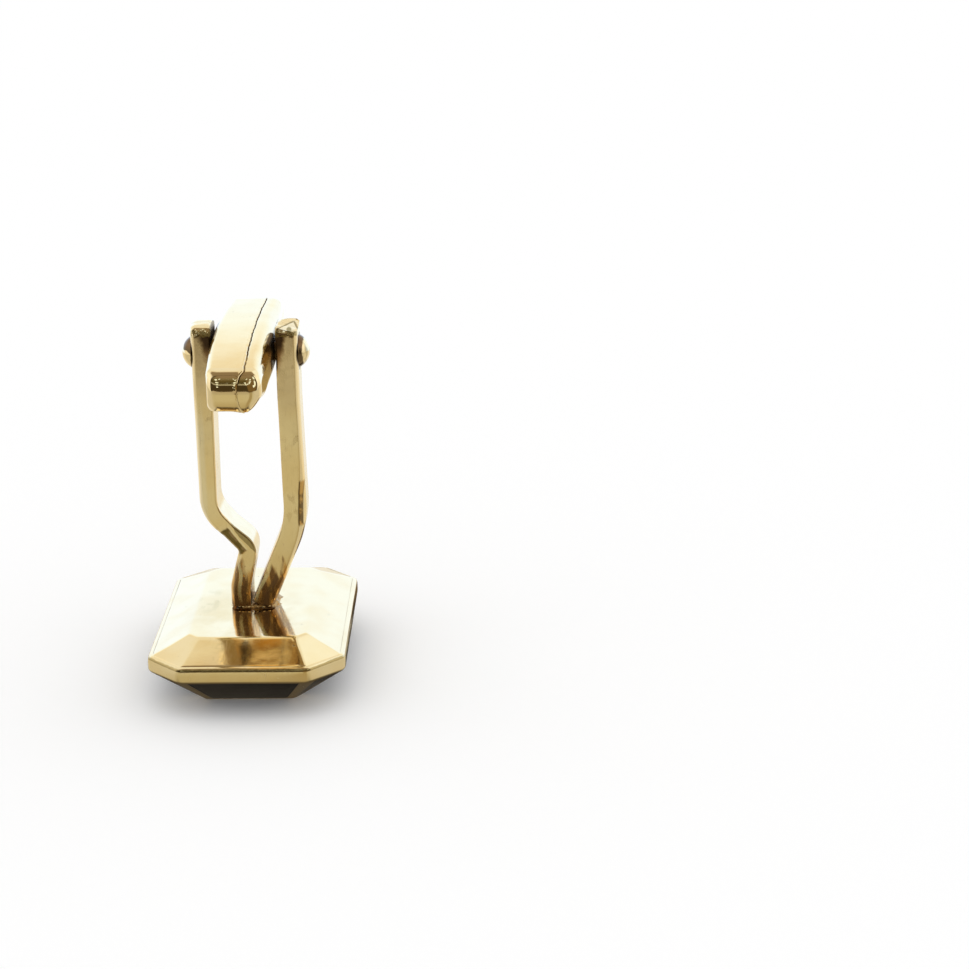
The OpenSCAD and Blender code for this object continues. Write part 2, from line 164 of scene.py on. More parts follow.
class Tree:
    """A new material's node tree."""

    def __init__(self, name):
        self.mat = bpy.data.materials.new(name)
        self.mat.use_nodes = True
        self.nodes, self.links = self.mat.node_tree.nodes, self.mat.node_tree.links
        self.nodes.clear()

    def add(self, kind, inputs=None, out=0, **props):
        """Adds a shader node with its inputs, values or numbers, and gives one of its outputs."""
        n = self.nodes.new("ShaderNode" + kind)
        for key, value in props.items():
            setattr(n, key, value)
        for key, value in (inputs or {}).items():
            if isinstance(value, Value):
                self.links.new(value.socket, n.inputs[key])
            else:
                n.inputs[key].default_value = value
        return Value(self, n.outputs[out])

    def mix(self, factor, a, b):
        """Colour a where factor is 0 and b where it is 1."""
        a, b = (c if isinstance(c, Value) else (*c, 1) for c in (a, b))
        return self.add("Mix", {0: factor, 6: a, 7: b}, 2, data_type="RGBA", clamp_factor=True)

    def ramp(self, value, stops):
        out = self.add("ValToRGB", {"Fac": value})
        elements = out.socket.node.color_ramp.elements
        elements.remove(elements[-1])
        elements[0].position, elements[0].color = stops[0][0], (*stops[0][1], 1)
        for position, colour in stops[1:]:
            elements.new(position).color = (*colour, 1)
        return out

    def millimetres(self):
        """Place on the object in millimetres."""
        return self.add("TexCoord", out="Object").scaled(1000, 1000, 1000)

    def shade_in_crevices(self, reach, lo=0.3, hi=0.75):
        """Ambient occlusion as a mask for painted shade: 1 deep in a joint or groove, 0 on open surfaces;
        reach in millimetres.
        """
        return 1 - self.add("AmbientOcclusion", {"Distance": reach * MM}, "AO", samples=8).span(lo, hi)

    def surface(self, colour, roughness, height, strength=1.0, distance=MM, **more):
        bump = self.add("Bump", {"Height": height, "Strength": strength, "Distance": distance})
        return self.finish("BsdfPrincipled",
                           {"Base Color": colour, "Roughness": roughness, "Normal": bump, **more})

    def finish(self, kind, inputs):
        """Puts the shader on the material's output."""
        shader = self.add(kind, inputs)
        self.links.new(shader.socket, self.nodes.new("ShaderNodeOutputMaterial").inputs["Surface"])
        return self.mat


# ---- gold
GOLD, PALE_SOLDER, BEAD_GOLD = (0.95, 0.79, 0.51), (0.78, 0.58, 0.31), (0.9, 0.72, 0.42)
PIT_BROWN = (0.2, 0.11, 0.04)
# Pits that the photograph shows on the plate: place and size
PLATE_PITS = (((-5.05, -6.9, 3.6), 0.05), ((2.95, -6.75, 3.9), 0.06), ((-0.3, -5.2, 4.17), 0.03))
# Middle of the wavy leg's slope, and the slope's direction in x and z
SLOPE_X, SLOPE_Z, SLOPE_RIGHT, SLOPE_DOWN = -1.45, 9.65, 0.596, -0.803


def on_slope(x, z):
    """Place on the wavy leg's slope, across it and down along it, from numbers or node values."""
    dx, dz = x - SLOPE_X, z - SLOPE_Z
    return dx * SLOPE_DOWN + dz * -SLOPE_RIGHT, dx * SLOPE_RIGHT + dz * SLOPE_DOWN


class Place:
    """Where a point of the surface is, in millimetres, and the uneven noises that its wear and painted shade
    follow.
    """

    def __init__(self, t):
        self.t, self.p = t, t.millimetres()
        self.x, self.y, self.z = self.p.split()
        self.side = abs(self.x)
        dz = self.z - PIVOT_Z
        self.from_pivot = (self.y * self.y + dz * dz).sqrt()
        self.mid = self.p.noise(2.2, 3.0)
        self.patchy = self.p.noise(1.7, 4.0)


# Each of these gives rows of stain marks, painted shade and painted highlights: where, how much, in what
# colour, and how much rougher it is there
def joint_shade(s):
    # painted shade in joints and grooves, dark brown where the ambient occlusion is deep
    return [(s.t.shade_in_crevices(0.12), 0.15, (0.1, 0.06, 0.03), 0.3)]


def toggle_shade(s):
    """Painted shade: brown along the seam, of changing width, dark in the toggle's joints, and black beside
    the legs.
    """
    seam = s.t.shade_in_crevices(0.16, 0.62, 0.93) * s.patchy.span(0.3, 0.5)
    beside = s.side.span(1.62, 1.78) * (1 - (s.patchy * 1.6 + s.from_pivot).span(2.3, 3.6))
    return [(seam, 0.75, (0.36, 0.24, 0.1), 0.12),
            (s.t.shade_in_crevices(0.12), 0.9, (0.14, 0.085, 0.035), 0.3),
            (beside, 0.93, (0.05, 0.035, 0.02), 0.2)]


def heat_stains(s, brown, burnt):
    """Heat stain from the soldering, in tongues up the feet of the legs."""
    tongues = s.p.scaled(1.8, 1.5, 0.5).noise(1.0, 2.0)
    low = 1 - (tongues * -4.4 + s.z).span(4.0, 4.9)
    foot = 1 - (s.patchy * -0.9 + s.z).span(4.0, 4.6)
    drawn = s.p.scaled(2.1, 1.6, 0.42).noise(1.0, 1.5).span(0.43, 0.52)
    # places across each leg, from its own middle: stripes that stayed clean, and a burnt bar
    right = s.x.span(FEET_X - 0.01, FEET_X + 0.01, smooth=False)
    left = 1 - right
    right_middle = (s.z * 0.404 - 1.2).max(0.0)
    across = (s.x - right_middle * right) + left * 0.825
    across = (s.z * 2.6 + 0.6).math("SINE") * 0.07 + across
    across = s.p.noise(1.3, 1.0) * 0.1 + across
    clean = (across.window(-0.02, 0.14, 0.05) * left).max(across.window(-0.62, -0.42, 0.06) * right)
    bar = (across.window(-0.3, -0.1, 0.06) * left).max(across.window(0.02, 0.28, 0.08) * right)
    fleck = s.p.scaled(4.0, 4.0, 1.8).noise(1.0, 1.0).span(0.66, 0.71)
    return [(low, brown, (0.68, 0.37, 0.1), 0.05),
            (low * drawn.max(foot), burnt, (0.18, 0.095, 0.05), 0.08),
            (clean * (low * (1 - foot)), 0.85, (0.8, 0.71, 0.47), 0.03),
            (bar * low, 0.8, (0.2, 0.12, 0.07), 0.06),
            (low * fleck, 0.85, (0.95, 0.52, 0.15), 0.0)]


def solder_stains_and_shade(s):
    specks = s.p.noise(3.6, 1.0).span(0.56, 0.66)
    # heat stains and pale specks, with painted shade in the joints
    return joint_shade(s) + heat_stains(s, 0.45, 0.4) + [(specks, 0.75, (0.85, 0.7, 0.42), 0.0)]


def leg_shade(s):
    """Painted shade beside the toggle: brown down the inner edges and faces, black at the top, and round the
    rivet's heads.
    """
    edge = 1 - (s.patchy * 0.55 + (s.z * -0.17 + s.side)).span(-1.04, -0.72)
    edge = edge * (1 - s.z.span(21.75, 21.97))
    shaded_inner_face = s.side.span(2.03, 1.98) * s.z.span(16.8, 18.6) * s.patchy.span(0.3, 0.5)
    rivet_contact_shadow = 1 - (s.patchy * -0.15 + s.from_pivot).span(1.04, 1.12)
    return [(edge * s.z.span(18.9, 20.6), 0.8, (0.42, 0.2, 0.08), 0.1),
            (edge * s.z.span(20.3, 21.2), 0.93, (0.07, 0.045, 0.03), 0.2),
            (shaded_inner_face, 0.75, (0.14, 0.085, 0.035), 0.1),
            (rivet_contact_shadow * s.side.span(3.03, 3.1), 0.85, (0.1, 0.06, 0.025), 0.1)]


def tarnished_streak(s):
    """Streak down the chamfer of the straight leg, rusty with a dark core."""
    along = s.z.window(9.75, 12.4, 0.25)
    chamfer = s.z.span(9.8, 13.2) * 0.14 + 2.99
    off = (s.p.noise(0.9, 1.0) * 0.12 + s.x) - chamfer
    off = abs(s.z - 10.9) * -0.02 + off
    streak = off.window(0.02, 0.28, 0.06) * s.y.span(-0.8, -0.95)
    core = off.window(0.11, 0.24, 0.06) * s.patchy.span(0.4, 0.52)
    tint = s.t.mix(core, (0.17, 0.1, 0.035), (0.66, 0.38, 0.11))
    return [(along * streak, 0.9, tint, 0.08)]


def filed_patch(s):
    """Filed patch on the slope of the wavy leg, dull and olive, with a pale painted highlight at its burr and
    a band of painted shade above it.
    """
    lean, down = on_slope(s.x, s.z)
    lean = s.mid * 0.16 + (lean - 0.04)
    down = s.patchy * 0.24 + (down - 0.12)
    front = s.y.span(-1.05, -1.15)
    filed = down.window(0.16, 1.9, 0.14) * front
    reddish = lean.window(0.14, 0.24, 0.05) * s.patchy.span(0.42, 0.52)
    tint = s.t.mix(reddish, (0.17, 0.12, 0.03), (0.33, 0.22, 0.12))
    band = (abs(down - 1.0) * 0.12 + lean).window(-0.55, -0.1, 0.05)
    return [(filed * lean.span(0.09, 0.16), 0.93, tint, 0.06),
            (filed * lean.window(0.04, 0.06, 0.03), 0.6, (1.0, 0.93, 0.76), 0.0),
            (down.window(0.2, 2.3, 0.3) * band * front, 0.72, (0.24, 0.18, 0.065), 0.04)]


def leg_top_marks_and_light(s):
    """Painted highlight on the top flat of the straight leg, painted shade on its outline, a blot, and
    painted dark reflection on both hammer-marked front edges.
    """
    left_line = s.y * -0.447 + (s.x * 0.894 - 2.396)
    right_line = s.y * 0.269 + (s.x * 0.963 - 3.016)
    on_top = s.z.span(21.95, 22.02) * (1 - s.y.span(0.58, 0.66)) * s.x.span(1.9, 2.0)
    flat = left_line.span(-0.02, 0.02) * right_line.span(0.02, -0.02)
    outline = 1 - (s.patchy * -0.08 + abs(left_line).min(abs(right_line))).span(-0.005, 0.05)
    blot = s.p.scaled(1, 0.35, 0.7).spot((2.78, -0.3, 15.42), 0.11, 0.07)
    nicks = s.p.scaled(2.6, 2.6, 4.0).noise(1.0, 1.0)
    front_edge_shade = (nicks * 0.5 + s.z).window(21.95, 22.2, 0.05) * s.y.span(-0.9, -1.0)
    return [(flat * on_top, 0.7, (1.0, 0.95, 0.82), 0.0),
            (outline * on_top, 0.9, (0.3, 0.22, 0.08), 0.05),
            (blot, 0.88, (0.27, 0.22, 0.07), 0.05),
            (front_edge_shade * (1 - nicks.span(0.58, 0.62)), 0.8, (0.34, 0.26, 0.1), 0.05)]


def leg_stains_and_light(s):
    # the outer half of the wavy leg is paler
    paler_outer_half = (1 - s.x.span(-2.75, -2.5)) * s.z.span(8.5, 10.5) * (1 - s.z.span(15.5, 18.5))
    return (joint_shade(s) + heat_stains(s, 0.8, 0.86) + leg_shade(s) + tarnished_streak(s) + filed_patch(s)
            + leg_top_marks_and_light(s) + [(paler_outer_half, 0.7, (0.97, 0.87, 0.68), 0.02)])


def plate_stains_and_shade(s):
    """Smudges beside the feet of the legs."""
    smudge = s.p.scaled(0.5, 0.35, 1).noise(1.0, 3.0).span(0.35, 0.6)
    smudge = smudge * s.p.scaled(1, 0.8, 0).spot((-0.4, -1.7, 0), 2.0, 2.6)
    rub = s.p.scaled(1.7, 0.8, 1).noise(1.0, 3.0).span(0.46, 0.62)
    rub = rub * s.p.scaled(1, 0.4, 0).spot((-2.8, 0, 0), 0.35, 0.7)
    # smudges, with painted shade in the joints
    return joint_shade(s) + [(smudge, 0.9, (0.86, 0.66, 0.35), 0.03), (rub, 0.5, (0.68, 0.55, 0.3), 0.08)]


def rim_shading(s):
    """Dark reflection painted as a line under the lip at the front, and painted shade in the joints."""
    dark_lip_line = (s.patchy * 0.1 + s.z).window(RIM_Z - 0.14, RIM_Z - 0.04, 0.04) * s.y.span(-6.3, -6.8)
    return joint_shade(s) + [(dark_lip_line, 0.8, (0.36, 0.27, 0.1), 0.05)]


def rivet_blotches_and_shade(s):
    """Blotches on the right head, and painted dark reflection and shade at the feet of the heads, reaching
    further up the left one.
    """
    left = s.x.span(0.0, -0.01)
    blotch = s.p.noise(1.3, 1.0).span(0.49, 0.62) * (1 - left)
    reach = (s.patchy * 0.7 + s.z).span(20.8, 21.2) * -0.38 + 0.28
    foot = 1 - ((s.patchy * -0.3 + s.side) + left * reach).span(3.38, 3.44)
    tint = s.t.mix(s.z.span(20.7, 21.1), (0.08, 0.045, 0.016), (0.12, 0.055, 0.022))
    return joint_shade(s) + [(blotch, 0.6, (0.27, 0.23, 0.12), 0.04), (foot, 0.92, tint, 0.04)]


def gold(name, rough, wave, grain, pit_depth, stains_and_shade=joint_shade, base=GOLD, pits=()):
    """Polished gold: slow waves, hair scratches, sparse pits, and the stain marks, painted shade and painted
    highlights of its place.
    """
    t = Tree(name)
    s = Place(t)
    p = s.p
    slow, fine = p.noise(0.45, 2.0), p.noise(26.0, 2.0)
    deep = tuple(b * k for b, k in zip(base, (0.98, 0.94, 0.86)))
    colour = t.mix(slow.span(0.35, 0.7), base, deep)
    # hair scratches from polishing: noise drawn out along two directions
    scratch = p.scaled(34, 1.1, 1.1).noise(1.0, 1.0).span(0.66, 0.72)
    scratch = scratch + p.scaled(1.6, 30, 1.2).noise(1.0, 1.0).span(0.67, 0.73)
    roughness = s.mid.span(0.45, 0.8) * (rough * 0.9) + rough
    roughness = scratch * (rough * 1.2) + (fine * (rough * 0.5) + roughness)
    pit = p.specks(0.9, 0.012, 0.05)
    for at, size in pits:
        pit = pit.max(p.spot(at, size, 0.05))
    colour = t.mix(pit * 0.7, colour, PIT_BROWN)
    height = slow * (wave * 2.2)
    for part, depth in ((s.mid, wave * 0.35), (fine, grain), (scratch, -grain * 0.8), (pit, -pit_depth)):
        height = part * depth + height
    for where, amount, tint, rougher in stains_and_shade(s):
        colour = t.mix(where * amount, colour, tint)
        roughness = where * rougher + roughness
    return t.surface(colour, roughness, height, Metallic=1.0)


gold_toggle = gold("gold_toggle", 0.045, 0.003, 0.0002, 0.003, toggle_shade)
gold_rivet = gold("gold_rivet", 0.07, 0.004, 0.0004, 0.003, rivet_blotches_and_shade)
gold_plate = gold("gold_plate", 0.05, 0.004, 0.0003, 0.006, plate_stains_and_shade, pits=PLATE_PITS)
gold_rim = gold("gold_rim", 0.09, 0.004, 0.0006, 0.004, rim_shading)
gold_leg = gold("gold_leg", 0.1, 0.003, 0.0006, 0.004, leg_stains_and_light)
gold_solder = gold("gold_solder", 0.2, 0.016, 0.004, 0.01, solder_stains_and_shade, PALE_SOLDER)
gold_bead = gold("gold_bead", 0.12, 0.006, 0.002, 0.004, base=BEAD_GOLD)


# ---- stone and steel
def onyx():
    """Black polished stone with faint clouds and tiny chips."""
    t = Tree("onyx")
    p = t.millimetres()
    cloud = p.noise(0.5, 4.0)
    colour = t.mix(cloud.span(0.4, 0.75), (0.004, 0.0035, 0.003), (0.012, 0.01, 0.008))
    roughness = p.noise(18.0, 2.0).span(0.4, 0.8) * 0.05 + 0.05
    height = p.specks(1.4, 0.01, 0.05) * -0.006 + cloud * 0.004
    return t.surface(colour, roughness, height, IOR=1.54, Metallic=0.0)


def spring_metal():
    """Steel with a fine brushed grain along the spring."""
    t = Tree("spring_steel")
    brush = t.millimetres().scaled(40, 1.5, 40).noise(1.0, 2.0)
    colour = t.mix(brush, (0.55, 0.55, 0.57), (0.68, 0.67, 0.66))
    return t.surface(colour, brush * 0.15 + 0.22, brush, 0.6, 0.002 * MM, Metallic=1.0)


black = onyx()
steel = spring_metal()


# ---- meshes
def clamp(v):
    return min(max(v, 0), 1)


def ease(v):
    """Smooth step, for v from 0 to 1."""
    return v ** 2 * (3 - 2 * v)


def turns(steps):
    """Angles once round."""
    return [2 * pi * k / steps for k in range(steps)]


def pairs(line):
    """Each point of a closed line with the next one."""
    return list(zip(line, line[1:] + line[:1]))


def even_counts(line, step):
    """How many points each side of a closed line takes, with no gap longer than step."""
    return [max(1, ceil(dist(a, b) / step)) for a, b in pairs(line)]


def filled(line, counts):
    """Closed line with so many points on each side."""
    return [(a[0] + (b[0] - a[0]) * k / n, a[1] + (b[1] - a[1]) * k / n)
            for (a, b), n in zip(pairs(line), counts) for k in range(n)]


def corner(a, b, c, start, end, steps):
    """Small curve in place of the corner b between a and c."""
    p, q = b + (a - b).normalized() * start, b + (c - b).normalized() * end
    return [tuple(p * (1 - t) ** 2 + b * 2 * t * (1 - t) + q * t * t)
            for t in (k / steps for k in range(steps + 1))]


def rounded(points, radii, steps=4):
    """Closed outline with each corner turned into a small curve, half its sides long at most."""
    points, out = [Vector(p) for p in points], []
    for i, (b, r) in enumerate(zip(points, radii)):
        a, c = points[i - 1], points[(i + 1) % len(points)]
        out += corner(a, b, c, min(r, (a - b).length * 0.48), min(r, (c - b).length * 0.48), steps)
    return out


def lumps(x, y, z):
    """Smooth random number of a place."""
    return noise.noise(Vector((x, y, z)))


def wobbled(p, scale, size, seed):
    """Point with a smooth random shift."""
    p = Vector(p)
    return tuple(p + noise.noise_vector(p * scale + Vector((seed, seed * 1.7, seed * 2.3))) * size)


def loft(rings):
    """Points and faces of a closed form through rings with the same number of points."""
    m, n = len(rings[0]), len(rings)
    faces = [(i * m + j, i * m + (j + 1) % m, (i + 1) * m + (j + 1) % m, (i + 1) * m + j)
             for i in range(n - 1) for j in range(m)]
    faces.append(tuple(range(m - 1, -1, -1)))
    faces.append(tuple((n - 1) * m + j for j in range(m)))
    return [p for ring in rings for p in ring], faces


def merged(forms):
    """Points and faces of several forms together."""
    verts, faces = [], []
    for more_verts, more_faces in forms:
        first = len(verts)
        verts += more_verts
        faces += [tuple(first + i for i in face) for face in more_faces]
    return verts, faces


def new_mesh(name, verts, faces, mat=None, sharp=None):
    """Mesh with smooth faces, but for edges over sharp degrees, from points in millimetres."""
    me = bpy.data.meshes.new(name)
    me.from_pydata([Vector(v) * MM for v in verts], [], faces)
    me.validate()
    smooth(me, sharp)
    if mat:
        me.materials.append(mat)
    return me


def smooth(me, sharp=None):
    """Shades a mesh smooth, but for edges over sharp degrees."""
    for poly in me.polygons:
        poly.use_smooth = True
    if sharp is not None:
        me.set_sharp_from_angle(angle=radians(sharp))


def outward(ob):
    """Turns all the faces of a closed piece outwards."""
    bm = bmesh.new()
    bm.from_mesh(ob.data)
    bmesh.ops.recalc_face_normals(bm, faces=bm.faces)
    bm.to_mesh(ob.data)
    bm.free()
    return ob


def add_piece(name, form, mat, node=None, body="cufflink", sharp=60):
    """Piece of gold that rides on a body and stands for a CAD node."""
    ob = outward(new_object(name, new_mesh(name, *form, mat, sharp)))
    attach(ob, body)
    if node:
        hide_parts(node)
    return ob


# ---- legs
BEND_STEP, RUN = 2.0, 0.22  # most degrees, and most millimetres, from one ring to the next
SECTION_STEP, TOP_STEPS = 0.13, 90
SECTION_RADII = (0.13, 0.06, 0.03, 0.07, 0.07, 0.03, 0.06, 0.13)


def heading(a, b):
    """Direction from a to b, as an angle from straight up."""
    return atan2(b[0] - a[0], b[1] - a[1])


def path_stations(path):
    """Places along a bent strip, close together: x, z, heading and thickness."""
    marks = [(path[0][0], path[0][1], heading(path[0], path[1]), path[0][3])]
    for before, (x, z, radius, thick), after in zip(path, path[1:], path[2:]):
        start, end = heading(before, (x, z)), heading((x, z), after)
        if radius == 0:
            marks.append((x, z, end, thick))
            continue
        side = 1 if end > start else -1
        back = radius * tan(abs(end - start) / 2)
        cx = x - back * sin(start) + side * radius * cos(start)
        cz = z - back * cos(start) - side * radius * sin(start)
        steps = max(2, ceil(degrees(abs(end - start)) / BEND_STEP))
        for k in range(steps + 1):
            a = start + (end - start) * k / steps
            marks.append((cx - side * radius * cos(a), cz + side * radius * sin(a), a, thick))
    marks.append((path[-1][0], path[-1][1], heading(path[-2], path[-1]), path[-1][3]))
    out = [marks[0]]
    for a, b in zip(marks, marks[1:]):
        n = max(1, ceil(dist(a[:2], b[:2]) / RUN))
        for t in (k / n for k in range(1, n + 1)):
            out.append(tuple(u * (1 - t) + v * t for u, v in zip(a, b)))
    return out


def leg_section(thick, crown):
    """Section of a leg: flat inner side, chamfers on the outer one, all edges a little round."""
    d, inner, outer = LEG_D / 2, -thick / 2, thick / 2
    mid_x, mid_y = outer - crown * 0.42, d - CHAMFER * 0.42
    return rounded([(inner, -d), (outer - crown, -d), (mid_x, -mid_y), (outer, -d + CHAMFER),
                    (outer, d - CHAMFER), (mid_x, mid_y), (outer - crown, d), (inner, d)], SECTION_RADII)


def leg_rings(path, out, crown, seed, shoulder, wider=0.0):
    """Rings of a leg up to its rounded top, which starts at the shoulder; out is the side it faces."""
    counts = even_counts(leg_section(LEG_T, crown), SECTION_STEP)
    start = PIVOT_Z + shoulder
    rings = []
    for x, z, turn, thick in path_stations(path):
        if z < start - 0.03:
            section = leg_section(thick, crown + wider * exp(-((z - 10.8) / 2.0) ** 2))
            rings.append([(x + out * u * cos(turn), y, z - out * u * sin(turn))
                          for u, y in filled(section, counts)])
    x_top, thick = path[-1][0], path[-1][3]
    section = filled(leg_section(thick, crown), counts)
    for k in range(TOP_STEPS + 1):
        a = pi / 2 * k / TOP_STEPS
        rise, keep = sin(a) ** (2 / TOP_POWER), max(cos(a), 0.0002) ** (2 / TOP_POWER)
        height = start + (LEG_TOP_R - 0.06 - shoulder) * rise
        ring = []
        for u, y in section:
            # the top sinks towards its rim and its front, and a little unevenly
            rim = max(abs(u) / (thick / 2) - 0.35, 0) / 0.65
            sink = 0.12 * rim ** 2.5 + 0.045 * (1 - y * keep / 1.25)
            sink += 0.018 * lumps(u * 1.6 + seed, y * keep * 1.6, 0.0)
            ring.append((x_top + out * u, y * max(keep, 0.004), height - sink * rise ** 4))
        rings.append(ring)
    return [[wobbled(p, 0.35, 0.016, seed) for p in ring] for ring in rings]


def facet_cut(points, at, normal, rough, seed, sink=0.0):
    """Files a flat: points beyond the plane go back to a little under it, with small hammer marks."""
    n, at = Vector(normal).normalized(), Vector(at)
    out = []
    for p in points:
        v = Vector(p)
        beyond = (v - at).dot(n)
        if beyond > 0:
            flat = v - n * beyond
            cell = noise.voronoi(flat * 2.6 + Vector((seed, 0, 0)))[0][0]
            p = tuple(flat - n * (rough * cell + min(sink, beyond)))
        out.append(p)
    return out


def make_legs():
    leg_x, top_z, foot_z = (LEG_GAP + LEG_T) / 2, PIVOT_Z + LEG_TOP_R, FOOT_Z - 0.02
    x, thick = leg_x + 0.05, LEG_T + 0.1
    # paths: x, z, bend radius and thickness
    straight = [(FEET_X + LEG_T * 0.58 + 0.03, foot_z, 0, thick), (x + 0.17, FOOT_Z + 5.4, 6.0, 1.4),
                (x, PIVOT_Z - 2.8, 6.0, thick), (x, top_z, 0, thick)]
    verts, faces = loft(leg_rings(straight, 1, 0.19, 3.1, 1.22, 0.17))
    # the foot is cut level, and upright where it meets the other leg
    verts = [(max(px, FEET_X + 0.005), py, max(pz, foot_z)) for px, py, pz in verts]
    verts = facet_cut(verts, (2.0, -1.25, 22.2), (0.2, -0.127, 0.97), 0.02, 4.0, 0.035)
    verts = facet_cut(verts, (2.3, -1.25, 21.93), (0.1, -0.88, 0.45), 0.06, 9.0)
    add_piece("leg_straight_forged", (verts, faces), gold_leg, "leg_straight", sharp=35)

    foot_x = FEET_X - LEG_T / 2
    knee_x, knee_z, hip_z = -0.21, FOOT_Z + 3.73, FOOT_Z + 6.05
    wavy = [(foot_x, foot_z, 0, LEG_T), (foot_x, FOOT_Z + 1.1, 2.2, LEG_T), (knee_x, knee_z, 0.95, 1.15),
            ((knee_x - leg_x) / 2, (knee_z + hip_z) / 2, 0, 1.0), (-leg_x, hip_z, 2.4, (LEG_T + 1.0) / 2),
            (-leg_x, top_z, 0, LEG_T)]
    verts, faces = loft(leg_rings(wavy, -1, 0.24, 8.4, 1.02))
    # the bending has raised the strip's sides on the slope, and the outer half of each face leans a little
    bent = []
    for px, py, pz in verts:
        across, along = on_slope(px, pz)
        rise = 0.1 * max(across, 0) * clamp(min(along, 2.0 - along) / 0.12) * (abs(py) > 0.9)
        lean = 0.075 * max(-2.5 - px, 0) ** 1.5 * clamp((pz - 11) / 2) * (abs(py) > 1.1)
        bent.append((px, py + copysign(rise - lean, py), pz))
    verts = facet_cut(bent, (-2.95, -1.25, 21.75), (-0.28, -0.87, 0.42), 0.07, 2.0)
    verts = facet_cut(verts, (-2.25, -1.25, 21.72), (0.16, -0.88, 0.45), 0.07, 5.0)
    add_piece("leg_wavy_forged", (verts, faces), gold_leg, "leg_wavy", sharp=35)


make_legs()


# ---- rivet
ROUND_STEPS, DOME_STEPS = 64, 20


def lathe(profile, side, seed):
    """Form turned about the rivet's axis, from radii and distances, and a little uneven."""
    rings = []
    for r, x in profile:
        size = 0.02 if r > 0.05 else 0.0
        rings.append([wobbled((side * x, r * cos(a), PIVOT_Z + r * sin(a)), 0.9, size, seed)
                      for a in turns(ROUND_STEPS)])
    return loft(rings)


def rivet_head(side, seed, at):
    ball = (DOME_R ** 2 + DOME_H ** 2) / (2 * DOME_H)
    edge = asin(min(1.0, DOME_R / ball))
    profile = [(DOME_R - 0.06, at - 0.06), (DOME_R, at - 0.01), (DOME_R, at + 0.03)]
    for k in range(1, DOME_STEPS):
        a = edge * (1 - k / DOME_STEPS)
        profile.append((ball * sin(a), at + DOME_H - ball + ball * cos(a)))
    return lathe(profile + [(0.02, at + DOME_H)], side, seed)


def rivet_shank(half_l):
    """Shank through both legs, with four flats inside the toggle."""
    reach = TOGGLE_W / 2 - TOGGLE_WALL * 1.5
    rings = []
    for x, flat in ((-half_l, False), (-reach, False), (-reach + 0.001, True),
                    (reach - 0.001, True), (reach, False), (half_l, False)):
        ring = []
        for a in turns(ROUND_STEPS):
            turned = (a - radians(TILT)) % (pi / 2)
            to_flat = FLATS_W / 2 / cos(min(turned, pi / 2 - turned))
            r = min(RIVET_R, to_flat) if flat else RIVET_R
            ring.append((x, r * cos(a), PIVOT_Z + r * sin(a)))
        rings.append(ring)
    return loft(rings)


base_x = LEG_GAP / 2 + LEG_T
add_piece("rivet_domed", merged([rivet_head(1, 1.0, base_x + 0.07), rivet_head(-1, 5.0, base_x - 0.02),
                                 rivet_shank(base_x)]), gold_rivet, "pivot_rivet", sharp=40)

# ---- toggle
BODY_STEPS, NOSE_STEPS, CORNER_STEPS = 44, 30, 12
SECTION_POINTS, ROLL_POINTS, TOGGLE_SEED = 64, 5, 2.2


def swell(y, half_l, at_end, at_middle):
    return at_end + (at_middle - at_end) * cos(pi / 2 * y / half_l)


def full_h(y, inset=0.0):
    """Half height before the nose rounds it off."""
    return swell(y, TOGGLE_L / 2 - inset, NOSE_H / 2, TOGGLE_H / 2) - inset


def half_w(y, round_end, left, inset=0.0):
    half_l = TOGGLE_L / 2 - inset
    into = max(abs(y) - half_l + round_end, 0)
    end, mid = (SHELL_END, SHELL_MID) if left else (NOSE_W / 2, TOGGLE_W / 2)
    return swell(y, half_l, end, mid) - inset - round_end + sqrt(max(round_end ** 2 - into ** 2, 0))


def seam_at(y, z):
    """Where the seam lies across the toggle: bowed and uneven, and round the cover's end at the noses."""
    x = 0.60 + 0.12 * (y / 7) ** 2 + 0.014 * sin(2.3 * y + 0.6) + 0.008 * sin(7.9 * y)
    x += 0.012 * lumps(y * 3.1, z * 3.0, 0.4)
    arc = sqrt(max(1 - ((z - 0.05) / 1.1) ** 2, 0))
    return x - 0.44 * clamp((abs(y) - 7.05) / 0.5) * arc


def toggle_places(inset=0.0):
    """Places along the toggle and the share of the full height that the nose leaves there."""
    half_l, run = TOGGLE_L / 2 - inset, NOSE_ROUND - inset / 2
    far = [((half_l - run) * k / BODY_STEPS, 1.0) for k in range(BODY_STEPS)]
    for k in range(NOSE_STEPS):
        a = pi / 2 * k / (NOSE_STEPS - 1)
        far.append((half_l - run + run * sin(a) ** (2 / NOSE_POWER),
                    max(cos(a), 0.002) ** (2 / NOSE_POWER)))
    return [(-y, share) for y, share in reversed(far)] + far[1:]


def section_outline(y, h, inset=0.0):
    """The whole section at y as x, z points, from the right side over the top."""
    left_r = max(SHELL_CORNER - inset, 0.1)
    right_r = max(COVER_CORNER - 0.27 * ease(clamp((abs(y) - 3.6) / 3.9)) - inset, 0.1)
    left, right = half_w(y, left_r, True, inset), half_w(y, max(COVER_PLAN - inset, 0.1), False, inset)
    lr, rr = min(left_r, h * 0.9), min(right_r, h * 0.9)
    pts = []
    for cx, cz, r, first in ((right - rr, h - rr, rr, 0), (-left + lr, h - lr, lr, 90),
                             (-left + lr, -h + lr, lr, 180), (right - rr, -h + rr, rr, 270)):
        for k in range(CORNER_STEPS + 1):
            a = radians(first + 90 * k / CORNER_STEPS)
            pts.append((cx + r * cos(a), cz + r * sin(a)))
    return pts


